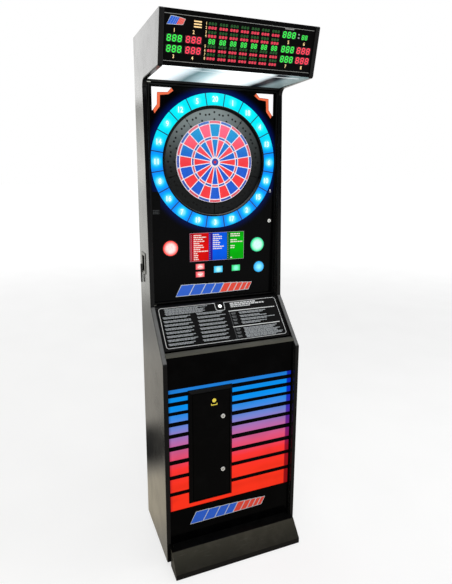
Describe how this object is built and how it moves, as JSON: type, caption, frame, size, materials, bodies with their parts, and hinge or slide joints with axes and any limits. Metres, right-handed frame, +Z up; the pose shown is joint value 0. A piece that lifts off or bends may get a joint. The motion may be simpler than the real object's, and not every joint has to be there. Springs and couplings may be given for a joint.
{
  "type": "electronic dartboard cabinet",
  "caption": "Free-standing coin-operated electronic dart cabinet with a lit header, hinged target door, slanted rules lid, lit lower front, cash door and kick plate.",
  "frame": {"origin": "centre of the footprint on the floor, under the feet", "axes": "+Z up, -Y to the front where the player stands, +X to the player's right"},
  "size_m": [0.6285, 0.447, 2.225],
  "materials": {
    "black_laminate": "semi-gloss",
    "black_moulding": "gloss",
    "black_board": "matt",
    "black_acrylic": "gloss",
    "display_black": "satin",
    "smoked_window": "gloss",
    "silver_sheet": "brushed",
    "lit_ring": "gloss, lit from behind",
    "catch_grey": "moulded",
    "spider_white": "moulded",
    "segment_red": "moulded",
    "segment_blue": "moulded",
    "menu_print": "lit from behind",
    "bezel_black": "satin",
    "button_red": "lit",
    "button_mint": "lit",
    "button_blue": "lit",
    "button_cyan": "lit",
    "button_green": "lit",
    "lock_chrome": "polished",
    "steel": "brushed",
    "zinc_steel": "zinc plated",
    "light_stripes": "lit from behind",
    "cash_black": "powder coat",
    "grey_rail": "satin",
    "foot_rubber": "matt",
    "coin_metal": "satin",
    "lever_black": "satin",
    "circuit_green": "lacquered",
    "inner_black": "matt",
    "lamp_white": "diffuser",
    "kick_paint": "satin",
    "rules_print": "gloss"
  },
  "bodies": {
    "cabinet": {"side_panel_left": "black_laminate", "side_panel_right": "black_laminate", "edge_mouldings": "black_moulding", "back_panel": "black_board", "service_cover": "black_board", "service_screws": "steel", "top_and_bottom_panels": "black_board", "levelling_feet": "foot_rubber", "display_panel": "display_black", "led_windows": "smoked_window", "light_bars": "lamp_white", "visor_panel": "silver_sheet", "head_rail": "steel", "cross_rails": "grey_rail", "lower_front_panel": "black_laminate", "light_box": "inner_black", "light_panel": "light_stripes", "cash_surround": "cash_black", "cash_box": "steel", "kick_plate": "kick_paint", "coin_bezel": "coin_metal", "coin_mech": "zinc_steel", "power_supply": "zinc_steel", "circuit_boards": "circuit_green", "loudspeaker": "inner_black", "brackets_and_strikes": "zinc_steel"},
    "dart_door": {"door_frame": "cash_black", "door_panel": "black_acrylic", "menu_panel": "menu_print", "number_ring": "lit_ring", "door_boards": "circuit_green", "target_lip": "black_moulding", "catch_ring": "catch_grey", "spider": "spider_white", "head_housing": "inner_black", "button_bezels": "bezel_black", "button_switches": "inner_black", "door_lock_barrel": "lock_chrome"},
    "single_segments": {"singles_red": "segment_red", "singles_blue": "segment_blue"},
    "multiple_segments": {"multiples_red": "segment_red", "multiples_blue": "segment_blue"},
    "outer_bull": {"bull_outer": "segment_blue"},
    "inner_bull": {"bull_inner": "segment_red"},
    "door_lock": {"door_lock_cam": "lock_chrome"},
    "rules_lid": {"rules_plate": "rules_print", "rules_lock_barrel": "lock_chrome"},
    "rules_lock": {"rules_lock_cam": "lock_chrome"},
    "cash_door": {"cash_door": "cash_black", "cash_lock_barrels": "lock_chrome"},
    "cash_lock_upper": {"cash_lock_upper": "lock_chrome"},
    "cash_lock_lower": {"cash_lock_lower": "lock_chrome"},
    "coin_lever": {"coin_lever": "lever_black"},
    "button_left": {"button_left": "button_red"},
    "button_right": {"button_right": "button_mint"},
    "button_blue": {"button_blue": "button_blue"},
    "button_up": {"button_up": "button_red"},
    "button_down": {"button_down": "button_red"},
    "button_cyan": {"button_cyan": "button_cyan"},
    "button_green": {"button_green": "button_green"}
  },
  "joints": [
    {"name": "dart_door_hinge", "type": "hinge", "parent": "cabinet", "child": "dart_door", "pos_m": [-0.286, 0.0885, 1.73], "axis": [0, 0, -1], "range_deg": [0, 90]},
    {"name": "single_segments_press", "type": "slide", "parent": "dart_door", "child": "single_segments", "axis": [0, 1, 0], "range_m": [0, 0.0015], "stiffness_N_per_m": 600, "springref_m": -0.0015},
    {"name": "multiple_segments_press", "type": "slide", "parent": "dart_door", "child": "multiple_segments", "axis": [0, 1, 0], "range_m": [0, 0.0015], "stiffness_N_per_m": 600, "springref_m": -0.0015},
    {"name": "outer_bull_press", "type": "slide", "parent": "dart_door", "child": "outer_bull", "axis": [0, 1, 0], "range_m": [0, 0.0015], "stiffness_N_per_m": 400, "springref_m": -0.0015},
    {"name": "inner_bull_press", "type": "slide", "parent": "dart_door", "child": "inner_bull", "axis": [0, 1, 0], "range_m": [0, 0.0015], "stiffness_N_per_m": 300, "springref_m": -0.0015},
    {"name": "button_left_press", "type": "slide", "parent": "dart_door", "child": "button_left", "axis": [0, 1, 0], "range_m": [0, 0.004], "stiffness_N_per_m": 350, "springref_m": -0.003},
    {"name": "button_right_press", "type": "slide", "parent": "dart_door", "child": "button_right", "axis": [0, 1, 0], "range_m": [0, 0.004], "stiffness_N_per_m": 350, "springref_m": -0.003},
    {"name": "button_blue_press", "type": "slide", "parent": "dart_door", "child": "button_blue", "axis": [0, 1, 0], "range_m": [0, 0.004], "stiffness_N_per_m": 350, "springref_m": -0.003},
    {"name": "button_up_press", "type": "slide", "parent": "dart_door", "child": "button_up", "axis": [0, 1, 0], "range_m": [0, 0.004], "stiffness_N_per_m": 350, "springref_m": -0.003},
    {"name": "button_down_press", "type": "slide", "parent": "dart_door", "child": "button_down", "axis": [0, 1, 0], "range_m": [0, 0.004], "stiffness_N_per_m": 350, "springref_m": -0.003},
    {"name": "button_cyan_press", "type": "slide", "parent": "dart_door", "child": "button_cyan", "axis": [0, 1, 0], "range_m": [0, 0.004], "stiffness_N_per_m": 350, "springref_m": -0.003},
    {"name": "button_green_press", "type": "slide", "parent": "dart_door", "child": "button_green", "axis": [0, 1, 0], "range_m": [0, 0.004], "stiffness_N_per_m": 350, "springref_m": -0.003},
    {"name": "door_lock_turn", "type": "hinge", "parent": "dart_door", "child": "door_lock", "pos_m": [0.264, 0.0935, 1.47], "axis": [0, -1, 0], "range_deg": [0, 90]},
    {"name": "rules_lid_hinge", "type": "hinge", "parent": "cabinet", "child": "rules_lid", "pos_m": [0, -0.08063, 0.97286], "axis": [1, 0, 0], "range_deg": [0, 110]},
    {"name": "rules_lock_turn", "type": "hinge", "parent": "rules_lid", "child": "rules_lock", "pos_m": [0, 0.0368, 1.10276], "axis": [0, -0.7184, 0.6957], "range_deg": [0, 180]},
    {"name": "cash_door_hinge", "type": "hinge", "parent": "cabinet", "child": "cash_door", "pos_m": [-0.1823, -0.127, 0.534], "axis": [0, 0, -1], "range_deg": [0, 100]},
    {"name": "cash_lock_upper_turn", "type": "hinge", "parent": "cash_door", "child": "cash_lock_upper", "pos_m": [-0.05, -0.131, 0.666], "axis": [0, -1, 0], "range_deg": [0, 90]},
    {"name": "cash_lock_lower_turn", "type": "hinge", "parent": "cash_door", "child": "cash_lock_lower", "pos_m": [-0.05, -0.131, 0.413], "axis": [0, -1, 0], "range_deg": [0, 90]},
    {"name": "coin_lever_turn", "type": "hinge", "parent": "cabinet", "child": "coin_lever", "pos_m": [-0.31, 0.18, 1.284], "axis": [-1, 0, 0], "range_deg": [0, 35], "stiffness_Nm_per_rad": 0.08, "springref_deg": -2.86}
  ]
}
